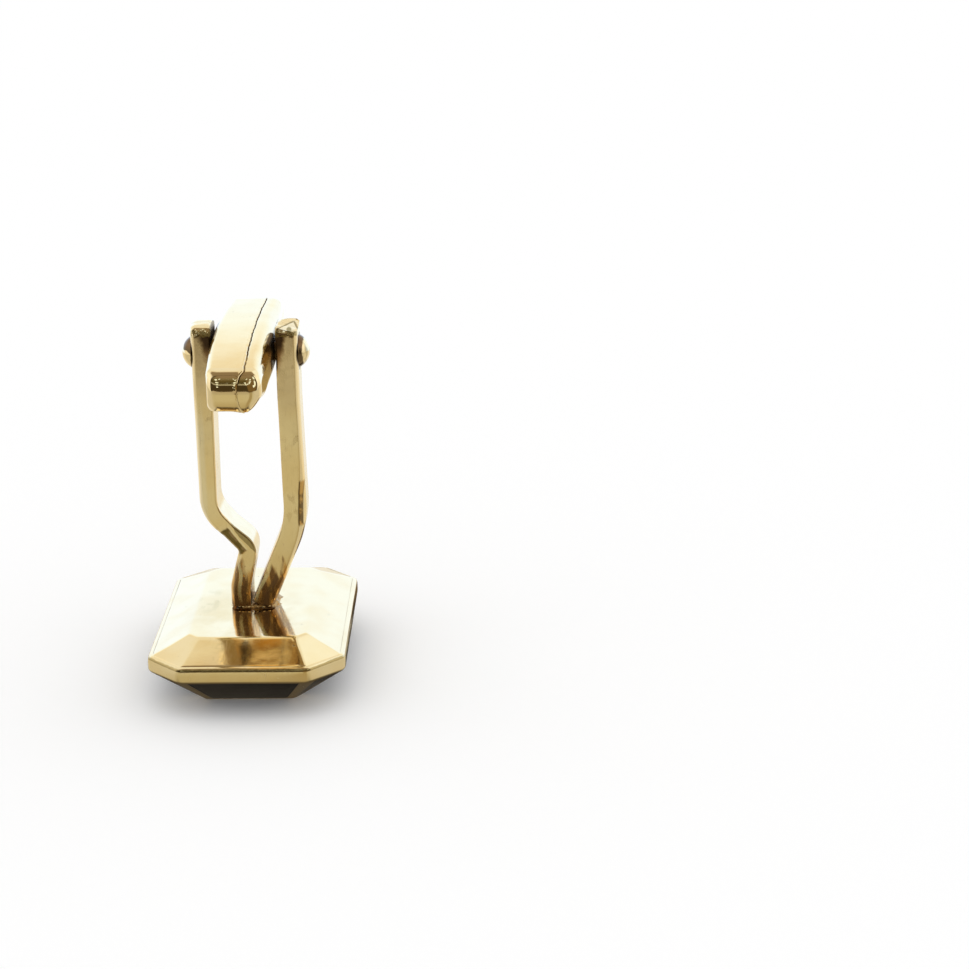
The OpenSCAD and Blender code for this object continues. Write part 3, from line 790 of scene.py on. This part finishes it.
def clip_side(pts, x_top, x_low, keep_left, m):
    """Part of the section on one side of the seam, from its top end to its bottom end, as m even points."""
    n = len(pts)
    top = low = None
    for i, (a, b) in enumerate(pairs(pts)):
        for cut_x, upper in ((x_top, True), (x_low, False)):
            if (a[0] - cut_x) * (b[0] - cut_x) < 0:
                t = (cut_x - a[0]) / (b[0] - a[0])
                z = a[1] + (b[1] - a[1]) * t
                if upper and z > 0:
                    top = (i, (cut_x, z))
                elif not upper and z <= 0:
                    low = (i, (cut_x, z))
    if keep_left:
        between = pts[top[0] + 1:low[0] + 1]
    else:
        between = [pts[(top[0] - k) % n] for k in range((top[0] - low[0]) % n)]
    run = [top[1]] + between + [low[1]]
    length = [0.0]
    for a, b in zip(run, run[1:]):
        length.append(length[-1] + dist(a, b))
    out, j = [], 0
    for k in range(m):
        want = length[-1] * k / (m - 1)
        while j < len(run) - 2 and length[j + 1] < want:
            j += 1
        gap = length[j + 1] - length[j]
        t = 0 if gap < 1e-9 else (want - length[j]) / gap
        out.append(tuple(u * (1 - t) + v * t for u, v in zip(run[j], run[j + 1])))
    return out


def in_place(x, y, z):
    """Point of the toggle, a little uneven, tilted and lifted to the rivet."""
    p = Vector(wobbled((x, y, z), 0.3, 0.014, TOGGLE_SEED))
    return tuple(Matrix.Rotation(radians(TILT), 4, "X") @ p + Vector((0, 0, PIVOT_Z)))


def outer_row(y, h, share, keep_left):
    """Outer skin at y, rolled in at the seam, from the seam on top round to the seam below."""
    side = -1 if keep_left else 1
    x_top, x_low = seam_at(y, h), seam_at(y, -h)
    line = clip_side(section_outline(y, h), x_top, x_low, keep_left, SECTION_POINTS)
    nose, near_end = clamp((abs(y) - 7.0) / 0.6), clamp((-y - 1.0) / 6.0)
    groove = 0.037 + 0.022 * near_end + 0.012 * lumps(y * 1.9, 0.7, 1.3)
    depth = min(0.08 + 0.03 * nose, h * 0.35)
    downs = [1 - k / ROLL_POINTS for k in range(ROLL_POINTS)]
    ends = [(side * (0.004 + groove * (1 - down ** 1.6)), depth * down) for down in downs]
    ring = [(line[0][0] + dx, line[0][1] - dz) for dx, dz in ends] + line[1:-1]
    ring += [(line[-1][0] + dx * (1 + 0.7 * nose), line[-1][1] + dz) for dx, dz in reversed(ends)]
    low_nose, worn = clamp((abs(y) - 6.3) / 1.2), ease(clamp((abs(y) - 5.0) / 2.2))
    row = []
    for x, z in ring:
        at_y = y
        if keep_left:
            # the shell's edge stands a little proud of the cover, unevenly
            near = min(abs(x - (x_top if z > 0 else x_low)), 1.0)
            lump = 0.75 + 0.5 * lumps(y * 4.5, z * 4.5, 2.0)
            proud = (0.012 + 0.04 * nose) * lump * exp(-((near - 0.1) / 0.075) ** 2)
            z += copysign(proud * share, z)
            if share < 1:
                at_y += copysign(proud * (1 - share), y)
        z -= low_nose * max(-z, 0) * (0.12 + 0.1 * exp(-((x - 0.6) / 0.45) ** 2))
        if z < 0:
            # the cover's lower edge is worn round towards the noses
            z *= 1 - 0.62 * worn * clamp((x - 0.72) / 0.98) ** 1.6
        if abs(y) > 7:
            at_y -= copysign(0.42 * nose * max(-0.64 - x, 0) ** 2, y)
        row.append(in_place(x, at_y, z))
    return row


def make_half(name, node, keep_left):
    """One half of the toggle: an outer skin, and an inner skin a wall's thickness inside."""
    overlap = -0.05 if keep_left else 0.05
    outer, inner = [], []
    for (y, share), (y_in, share_in) in zip(toggle_places(), toggle_places(TOGGLE_WALL)):
        h, h_in = full_h(y) * share, max(full_h(y_in, TOGGLE_WALL) * share_in, 0.004)
        outer.append(outer_row(y, h, share, keep_left))
        line = clip_side(section_outline(y_in, h_in, TOGGLE_WALL), seam_at(y, h) + overlap,
                         seam_at(y, -h) + overlap, keep_left, len(outer[-1]))
        inner.append([in_place(x, y_in, z) for x, z in line])
    n, w = len(outer), len(outer[0])
    far, last = n * w, w - 1
    faces = []
    for a in range(0, far - w, w):
        b = a + w
        for j in range(last):
            faces += [(a + j, a + j + 1, b + j + 1, b + j),
                      (far + a + j, far + b + j, far + b + j + 1, far + a + j + 1)]
        faces += [(a, b, far + b, far + a), (a + last, far + a + last, far + b + last, b + last)]
    for a in (0, far - w):
        for k in (a, far + a):
            faces += [(k + j, k + j + 1, k + last - 1 - j, k + last - j) for j in range(w // 2 - 1)]
        faces.append((a, a + last, far + a + last, far + a))
    verts = [p for row in outer + inner for p in row]
    add_piece(name, (verts, faces), gold_toggle, node, "toggle", 50)


make_half("toggle_shell_pressed", "toggle_shell", True)
make_half("toggle_cover_pressed", "toggle_cover", False)

# ---- solder round the feet
PAD_X, PAD_HALF_W, PAD_HALF_L, PAD_POWER = 0.05, 1.38, 1.25, 3.2
# Share of the pad's outline, and height over the plate
PAD_LEVELS = ((1.2, -0.02), (1.13, 0.0), (1.06, 0.02), (1.01, 0.045), (0.985, 0.075), (0.965, 0.12),
              (0.93, 0.2), (0.6, 0.205), (0.2, 0.205))
# Beads along the joint: x, y and radius
BEADS = ((-0.68, -1.4, 0.06), (-0.5, -1.41, 0.045), (-0.3, -1.42, 0.08), (-0.08, -1.42, 0.06),
         (0.22, -1.37, 0.04), (0.62, -1.39, 0.06), (0.95, -1.3, 0.07), (-0.9, -1.33, 0.05),
         (1.2, -0.6, 0.06), (-1.2, 0.5, 0.06), (0.2, 1.36, 0.08), (-0.5, 1.33, 0.06))


def pad_ring(share, z):
    """Ring of the low mound of solder, whose edge runs out unevenly over the plate."""
    ring = []
    for a in turns(96):
        ca, sa = cos(a), sin(a)
        slow = lumps(ca * 2.4, sa * 2.4, 3.7)
        fine = lumps(ca * 7.0, sa * 7.0, 9.1 + z * 3)
        edge = max(0.0, share - 0.85) / 0.3
        r = (abs(ca / PAD_HALF_W) ** PAD_POWER + abs(sa / PAD_HALF_L) ** PAD_POWER) ** (-1 / PAD_POWER)
        r = r * share * (1 + (0.14 * slow + 0.12 * fine) * edge)
        ring.append((PAD_X + r * ca, r * sa, PLATEAU_Z + z + (0.05 * fine if 0.06 < z < 0.2 else 0)))
    return ring


def bead(x, y, r):
    return loft([[(x + r * sin(b) * cos(a), y + r * 0.8 * sin(b) * sin(a),
                   PLATEAU_Z + 0.17 + r * 0.7 * cos(b)) for a in turns(12)]
                 for b in (pi * i / 8 for i in range(1, 8))])


add_piece("solder_pad", loft([pad_ring(*level) for level in PAD_LEVELS]), gold_solder, "foot_pad")
add_piece("solder_beads", merged([bead(*at) for at in BEADS]), gold_bead)


# ---- CAD nodes that stay, with soft edges
def add_bevel(ob, width, segments, angle):
    bevel = ob.modifiers.new("bevel", "BEVEL")
    bevel.width, bevel.segments = width * MM, segments
    bevel.limit_method, bevel.angle_limit = "ANGLE", radians(angle)
    bevel.harden_normals = True


def soften(node, mat, width, segments, angle):
    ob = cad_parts[node]
    ob.data.materials.clear()
    ob.data.materials.append(mat)
    for poly in ob.data.polygons:
        poly.material_index = 0
    ob.modifiers.new("weld", "WELD").merge_threshold = 0.002 * MM
    add_bevel(ob, width, segments, angle)
    smooth(ob.data)


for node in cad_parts:
    if node.startswith("onyx"):
        soften(node, black, 0.03, 3, 12)
    if node.startswith("spring"):
        soften(node, steel, 0.01, 2, 30)


# ---- back plate
PLATE_STEP, PLATE_RINGS = 0.13, 66


def corner_cut(inset):
    """Cut of the face's corners when its outline is drawn in."""
    return max(CORNER_CUT - 0.5858 * inset, 0.042)


def face_outline(inset):
    """Outline of the face, drawn in."""
    hw, hl, cut = FACE_HALF_W - inset, FACE_HALF_L - inset, corner_cut(inset)
    return [(-hw, -hl + cut), (-hw + cut, -hl), (hw - cut, -hl), (hw, -hl + cut),
            (hw, hl - cut), (hw - cut, hl), (-hw + cut, hl), (-hw, hl - cut)]


def soft_outline(inset, radius):
    return rounded(face_outline(inset), [radius] * 8, 6)


def plate_height(x, y):
    """Eight facets round a plateau, with softly worn edges."""
    rise = PLATEAU_Z - RIM_Z
    hw, hl = FACE_HALF_W - LIP_W, FACE_HALF_L - LIP_W
    cut_l, cut_top = hw + hl - corner_cut(LIP_W), PLATEAU_HALF_W + PLATEAU_HALF_L - PLATEAU_CUT
    heights = [PLATEAU_Z + 0.004 * (x / 3.6) ** 2 + 0.004 * (y / 6) ** 2,
               RIM_Z + rise * (hw - abs(x)) / (hw - PLATEAU_HALF_W),
               RIM_Z + rise * (hl - abs(y)) / (hl - PLATEAU_HALF_L),
               RIM_Z + rise * (cut_l - abs(x) - abs(y)) / (cut_l - cut_top)]
    worn, low = 0.016, min(heights)
    z = low - worn * log(sum(exp(-(h - low) / worn) for h in heights))
    edge = max(abs(x) / hw, abs(y) / hl)
    return z + lumps(x * 0.42, y * 0.42, 5.0) * 0.02 * min(1, (1 - edge) * 6)


def make_plate():
    line = soft_outline(LIP_W + 0.004, 0.12)
    border = filled(line, even_counts(line, PLATE_STEP))
    rings = []
    for z, inset in ((SEAT_Z, 0.0), (RIM_Z - 0.09, 0.0), (RIM_Z - 0.012, 0.001), (RIM_Z - 0.001, 0.008)):
        k = 1 - inset / FACE_HALF_W
        rings.append([(x * k, y * k, z) for x, y in border])
    for i in range(PLATE_RINGS):
        k = (1 - 0.02 / FACE_HALF_W) * (1 - i / PLATE_RINGS)
        rings.append([(x * k, y * k, plate_height(x * k, y * k)) for x, y in border])
    verts, faces = loft(rings)
    # a point in the middle takes the place of the top face
    faces.pop()
    m, tip = len(border), len(verts)
    faces += [(tip - m + j, tip - m + (j + 1) % m, tip) for j in range(m)]
    verts.append((0, 0, plate_height(0, 0)))
    add_piece("plate_polished", (verts, faces), gold_plate, "back_plate")


make_plate()

# ---- frame
FRAME_STEP, FRAME_SEED = 0.5, 6.0
CELL_LOW, TABLE_BORDER = -0.57, 0.45  # where a cell's cutter starts, outside the face, and the table's border
RIB_TOP, RIB_LOW = 0.55, 0.35
SLANT = hypot(BEVEL_IN, BEVEL_H)


def frame_profile():
    """Insets and heights: up the bevel and the rim band, over the lip, and down round the hollow."""
    low, edge, top = Vector((BEVEL_IN, 0.0)), Vector((0.0, BEVEL_H)), Vector((0.0, RIM_Z))
    profile = [(BEVEL_IN, 0.0)] + corner(low, edge, top, 0.15, 0.15, 8)
    profile += [(0.0, RIM_Z - 0.5), (0.006, RIM_Z - 0.34)]
    # the lip's bead turns in from the band and rises to its inner edge
    p, u, v, q = (Vector((inset, RIM_Z + z))
                  for inset, z in ((0.03, -0.18), (0.05, -0.09), (0.11, -0.03), (LIP_W, 0.005)))
    for t in (k / 8 for k in range(9)):
        profile.append(tuple(p * (1 - t) ** 3 + u * 3 * t * (1 - t) ** 2
                             + v * 3 * t * t * (1 - t) + q * t ** 3))

    def cavity(z):
        return BEVEL_IN * (1 - (z - DISH_T * SLANT / BEVEL_IN) / BEVEL_H)

    return profile + [(LIP_W, RIM_Z - 0.05), (LIP_W, SEAT_Z), (max(cavity(SEAT_Z), 0.62), SEAT_Z),
                      (cavity(DISH_T), DISH_T)]


def prism(outline, place=Matrix.Identity(4)):
    """Cutter for one cell."""
    return loft([[tuple(place @ Vector((x, y, z))) for x, y in outline] for z in (CELL_LOW, SLAB_T)])


def slab_outline(half_top, half_low):
    top, low = half_top - RIB_TOP, max(half_low - RIB_LOW, half_low * 0.4)
    return [(-top, 0.08), (top, 0.08), (low, SLANT - 0.12), (-low, SLANT - 0.12)]


def cells():
    """Cutters for the eight cells of the bevel and the one of the table."""
    cut = corner_cut(BEVEL_IN)
    end = (FACE_HALF_W - CORNER_CUT, FACE_HALF_W - BEVEL_IN - cut)
    long = (FACE_HALF_L - CORNER_CUT, FACE_HALF_L - BEVEL_IN - cut)
    small = (CORNER_CUT / sqrt(2), cut / sqrt(2))
    cx, cy = FACE_HALF_W - CORNER_CUT / 2, FACE_HALF_L - CORNER_CUT / 2
    lie_down = Matrix.Rotation(-atan2(BEVEL_H, BEVEL_IN), 4, "X")
    out = []
    for halves, x, y, turn in ((end, 0, -FACE_HALF_L, 0), (end, 0, FACE_HALF_L, 180),
                               (long, -FACE_HALF_W, 0, -90), (long, FACE_HALF_W, 0, 90),
                               (small, -cx, -cy, -45), (small, cx, -cy, 45),
                               (small, -cx, cy, -135), (small, cx, cy, 135)):
        turned = Matrix.Rotation(radians(turn), 4, "Z") @ lie_down
        out.append(prism(slab_outline(*halves), Matrix.Translation((x, y, BEVEL_H)) @ turned))
    return out + [prism(face_outline(BEVEL_IN + TABLE_BORDER))]


def make_frame():
    """Cast dish: rounded rim band and lip, bevel with a cell for each slab, hollow behind."""
    rings, counts = [], None
    for inset, z in frame_profile():
        line = soft_outline(inset, 0.32 if inset < 0.4 else 0.1)
        counts = counts or even_counts(line, FRAME_STEP)
        uneven = 0.012 if z > 2.0 and inset < 0.4 else 0.0
        rings.append([wobbled((x, y, z), 0.3, uneven, FRAME_SEED) for x, y in filled(line, counts)])
    ob = add_piece("frame_cast", loft(rings), gold_rim, "face_frame", sharp=30)
    tool = outward(new_object("cells", new_mesh("cells", *merged(cells()))))
    mod = ob.modifiers.new("cells", "BOOLEAN")
    mod.operation, mod.object, mod.solver = "DIFFERENCE", tool, "EXACT"
    bpy.context.view_layer.update()
    done = bpy.data.meshes.new_from_object(ob.evaluated_get(bpy.context.evaluated_depsgraph_get()))
    ob.modifiers.clear()
    ob.data = done
    bpy.data.objects.remove(tool)
    smooth(done, 30)
    add_bevel(ob, 0.02, 2, 50)


make_frame()


# ---- studio
def only_in_reflections(ob):
    """A part of the studio that only mirrored rays meet."""
    ob.visible_camera = ob.visible_diffuse = ob.visible_transmission = False
    ob.visible_volume_scatter = ob.visible_shadow = False


def distance(x, y):
    return (x * x + y * y).sqrt()


# Colours out from the middle, and across the shadow behind the cufflink
TAN = ((0.12, (0.48, 0.415, 0.233)), (0.32, (0.59, 0.55, 0.37)), (0.5, (0.59, 0.55, 0.37)),
       (0.65, (0.5, 0.46, 0.32)), (0.78, (0.48, 0.42, 0.3)))
AMBER = ((0.22, (0.24, 0.15, 0.04)), (0.27, (0.4, 0.24, 0.06)), (0.34, (0.52, 0.31, 0.09)),
         (0.365, (0.58, 0.39, 0.14)), (0.39, (0.25, 0.15, 0.04)), (0.42, (0.3, 0.2, 0.06)),
         (0.45, (1.0, 0.95, 0.7)), (0.52, (0.9, 0.85, 0.6)), (0.7, (0.3, 0.2, 0.07)),
         (1.0, (0.13, 0.08, 0.05)))


def card_material():
    """The table as the gold mirrors it: tan in front and at the sides, pale behind, and a painted shadow dark
    underneath.
    """
    t = Tree("floor_card")
    p = t.millimetres()
    x, y, _ = p.split()
    far = distance(x, y)
    ahead, sideways = (x * 0.1 + y) / far.max(0.001), x / far.max(0.001)
    colour = t.ramp(far / 100, TAN)
    colour = t.mix(ahead.span(-0.9, -0.5), colour, (0.645, 0.61, 0.48))
    colour = t.mix(sideways.span(0.04, 0.16) * (1 - sideways.span(0.4, 0.55)), colour, (0.41, 0.34, 0.18))
    colour = t.mix(ahead.span(0.1, 0.5), colour, (0.86, 0.79, 0.6))
    colour = t.mix(ahead.span(0.5, 0.9), colour, (0.92, 0.9, 0.8))
    colour = t.mix(y.span(55, 85), colour, (1.03, 1.12, 1.15))
    colour = t.mix(y.span(-82, -90), colour, (0.06, 0.043, 0.018))
    line = y.span(-94, -98) * (1 - y.span(-101, -106))
    colour = t.mix(line * 0.8, colour, (0.13, 0.1, 0.05))
    # close behind the cufflink the table is in its shadow, brown and amber
    near = y.span(7, 9) * (1 - y.span(15, 21)) * (x.span(-8, -6) * (1 - x.span(15, 20)))
    colour = t.mix(near, colour, t.ramp((x + 8) / 16, AMBER))
    # painted shadow of the cufflink on the table: dark under it, fading out round its outline
    beyond = (abs(x) / 6.5).max(abs(y) / 9.3)
    colour = t.mix(beyond.span(0.95, 1.5), (0.05, 0.04, 0.03), colour)
    colour = t.mix(p.noise(0.04, 2.0).span(0.4, 0.7) * 0.12, colour, (0.4, 0.36, 0.26))
    return t.finish("Emission", {"Color": colour, "Strength": 1.0})


TENT_AT, TENT_R, TENT_ROUND, TENT_UP = Vector((0, -8, 20.5)), 110.0, 96, 48
DIM, DARK, LAMP = (0.277, 0.212, 0.128), (0.06, 0.043, 0.018), (1.05, 1.15, 1.05)
# Lamps: azimuth from the front, elevation, and half their size in both, in degrees
LAMPS = ((-37, 49, 10, 6), (-19, 57, 4, 4.5), (-25, 32, 11, 4.5), (-22, 20, 8, 3.5), (-21, 7, 6, 3.5),
         (-0.5, 53, 5.5, 5.5), (-3, 30.5, 4, 5), (0, 22, 4.5, 4), (10, 25.5, 4, 4.5), (24, 42, 6, 5.5),
         (55, 48, 9, 12), (50, 20, 7, 14), (22, 31.5, 6, 3.5))
# Colours up each side of the tent, by elevation in degrees; the first one holds all the way down
BACK = ((None, (1.04, 1.23, 1.55)), (13, (1.03, 1.22, 1.5)), (17, (1.04, 1.2, 1.36)),
        (21, (1.04, 1.15, 1.2)), (24, (1.03, 1.07, 1.02)), (27.5, (0.93, 0.87, 0.68)),
        (31, (0.91, 0.9, 0.8)), (56, (0.91, 0.89, 0.76)), (58.5, (0.83, 0.76, 0.56)),
        (61, (0.76, 0.66, 0.48)), (66, DIM))
BRIGHT = ((24, (1.03, 1.1, 1.1)), (58, (1.03, 1.08, 1.04)), (62, (0.9, 0.85, 0.7)), (66, DIM))
FRONT = ((None, DARK), (15, DARK), (17.5, (0.45, 0.43, 0.33)), (21.5, (0.45, 0.43, 0.33)),
         (24, (0.086, 0.065, 0.02)), (32, (0.086, 0.065, 0.02)), (45, (0.13, 0.1, 0.037)),
         (62, (0.25, 0.205, 0.11)), (70, DIM))
RIGHT = ((None, (0.18, 0.113, 0.036)), (20, (0.18, 0.113, 0.036)), (45, (0.2, 0.15, 0.07)),
         (62, (0.25, 0.19, 0.11)), (70, DIM))
SIDE = ((None, (0.85, 0.8, 0.62)), (5, (1.0, 0.97, 0.85)), (30, (1.2, 1.17, 1.05)),
        (52, (0.95, 0.92, 0.8)), (62, DIM))


def tent_material():
    """What the gold mirrors above the table: bright behind, dim overhead, dark in front with a few lamps."""
    t = Tree("tent")
    x, y, z = t.add("TexCoord", out="Object").vector("NORMALIZE").split()
    level = distance(x, y).max(0.001)
    ahead, sideways = y / level, x / level

    def by_height(stops):
        places = [0.0 if deg is None else (sin(radians(deg)) + 0.3) / 1.3 for deg, _ in stops]
        return t.ramp((z + 0.3) / 1.3, [*zip(places, (colour for _, colour in stops)), (1.0, DIM)])

    front = t.mix(sideways.span(0.0, 0.1), by_height(FRONT), by_height(RIGHT))
    back = t.mix(sideways.span(0.28, 0.4) * z.span(0.4, 0.5), by_height(BACK), by_height(BRIGHT))
    colour = t.mix(ahead.span(0.3, 0.55), by_height(SIDE), back)
    colour = t.mix(ahead.span(-0.36, -0.3), DARK, colour)
    colour = t.mix(ahead.span(-0.52, -0.42), front, colour)
    azimuth = x.math("ARCTAN2", y * -1.0).math("DEGREES")
    elevation = z.math("ARCSINE").math("DEGREES")
    for lamp_azimuth, lamp_elevation, wide, high in LAMPS:
        a, b = (azimuth - lamp_azimuth) / wide, (elevation - lamp_elevation) / high
        colour = t.mix((a * a + b * b).span(1.0, 0.5), colour, LAMP)
    return t.finish("Emission", {"Color": colour, "Strength": 1.0})


def plane(name, half, z, mat):
    corners = [(-half, -half, z), (half, -half, z), (half, half, z), (-half, half, z)]
    ob = new_object(name, new_mesh(name, corners, [(0, 1, 2, 3)], mat))
    return ob


def make_studio():
    white = Tree("floor").finish("BsdfDiffuse", {"Color": (1.0, 1.0, 1.0, 1), "Roughness": 0.0})
    plane("floor", 2500, -0.03, white)
    only_in_reflections(plane("floor_card", 450, -0.01, card_material()))
    rings = [[(TENT_R * sin(b) * cos(a), TENT_R * sin(b) * sin(a), TENT_R * cos(b))
              for a in turns(TENT_ROUND)] for b in (pi * i / TENT_UP for i in range(1, TENT_UP))]
    tent = new_object("tent", new_mesh("tent", *loft(rings), tent_material()))
    tent.location = TENT_AT * MM
    only_in_reflections(tent)
    world = bpy.data.worlds.new("studio")
    bpy.context.scene.world = world
    world.use_nodes = True
    light = world.node_tree.nodes["Background"].inputs
    light["Color"].default_value, light["Strength"].default_value = (1.0, 1.0, 1.0, 1), 1.0


make_studio()
bpy.context.scene.view_settings.view_transform = "Standard"
